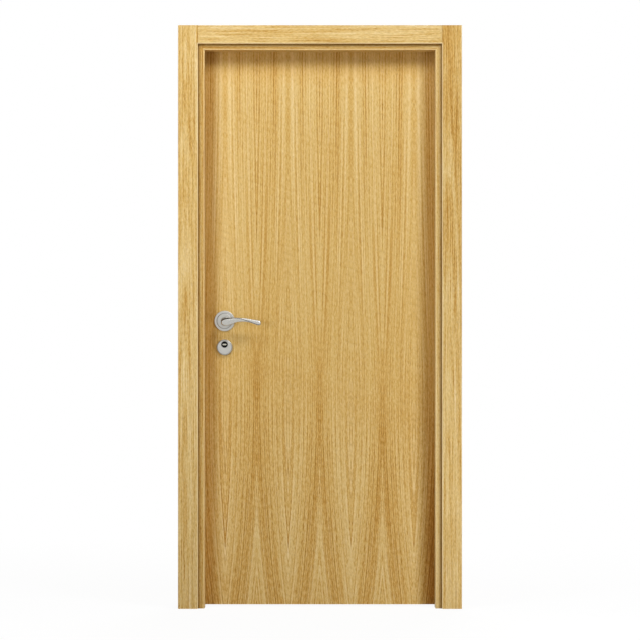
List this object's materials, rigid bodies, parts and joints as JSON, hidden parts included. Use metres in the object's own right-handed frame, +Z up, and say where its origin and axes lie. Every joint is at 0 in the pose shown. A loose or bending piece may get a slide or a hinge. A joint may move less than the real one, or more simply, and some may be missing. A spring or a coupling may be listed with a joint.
{
  "type": "prehung interior door",
  "caption": "Prehung interior door in oak veneer: rebated lining, flat casings on both sides, flush leaf on butt hinges, satin nickel lever set with key rose.",
  "frame": {"origin": "on the wall face of the hinge jamb, at the finished floor and midway through the wall", "axes": "+Z up, +X out of the hinge jamb into the wall, +Y to the side that the leaf opens to"},
  "size_m": [1, 0.1645, 2.055],
  "materials": {
    "oak_veneer": "oak veneer under clear satin lacquer",
    "chipboard_core": "raw board",
    "seal_rubber": "matt",
    "satin_steel": "satin",
    "satin_nickel": "satin nickel plate",
    "black_cylinder": "black"
  },
  "bodies": {
    "lining": {"hinge_jamb": "oak_veneer", "strike_jamb": "oak_veneer", "head_jamb": "oak_veneer", "front_hinge_side_casing": "oak_veneer", "front_strike_side_casing": "oak_veneer", "front_head_casing": "oak_veneer", "back_hinge_side_casing": "oak_veneer", "back_strike_side_casing": "oak_veneer", "back_head_casing": "oak_veneer", "hinge_side_seal": "seal_rubber", "strike_side_seal": "seal_rubber", "head_seal": "seal_rubber", "strike_plate": "satin_steel", "top_hinge_jamb_half": "satin_steel", "middle_hinge_jamb_half": "satin_steel", "bottom_hinge_jamb_half": "satin_steel"},
    "leaf": {"leaf_core": "chipboard_core", "leaf_front_skin": "oak_veneer", "leaf_back_skin": "oak_veneer", "leaf_lock_lipping": "oak_veneer", "leaf_hinge_lipping": "oak_veneer", "top_hinge_leaf_half": "satin_steel", "middle_hinge_leaf_half": "satin_steel", "bottom_hinge_leaf_half": "satin_steel", "lock_faceplate": "satin_steel", "latch_bolt": "satin_steel", "dead_bolt": "satin_steel", "front_lever_rose": "satin_nickel", "back_lever_rose": "satin_nickel", "front_key_rose": "satin_nickel", "back_key_rose": "satin_nickel", "key_cylinder": "black_cylinder"},
    "levers": {"front_lever": "satin_nickel", "back_lever": "satin_nickel", "lever_spindle": "satin_steel"}
  },
  "joints": [
    {"name": "leaf_swing", "type": "hinge", "parent": "lining", "child": "leaf", "pos_m": [-0.0275, 0.0575, 1], "axis": [0, 0, -1], "range_deg": [0, 170]},
    {"name": "lever_turn", "type": "hinge", "parent": "leaf", "child": "levers", "pos_m": [-0.786, 0.03, 1.0135], "axis": [0, 1, 0], "range_deg": [0, 45], "stiffness_Nm_per_rad": 1, "springref_deg": -29.79}
  ]
}
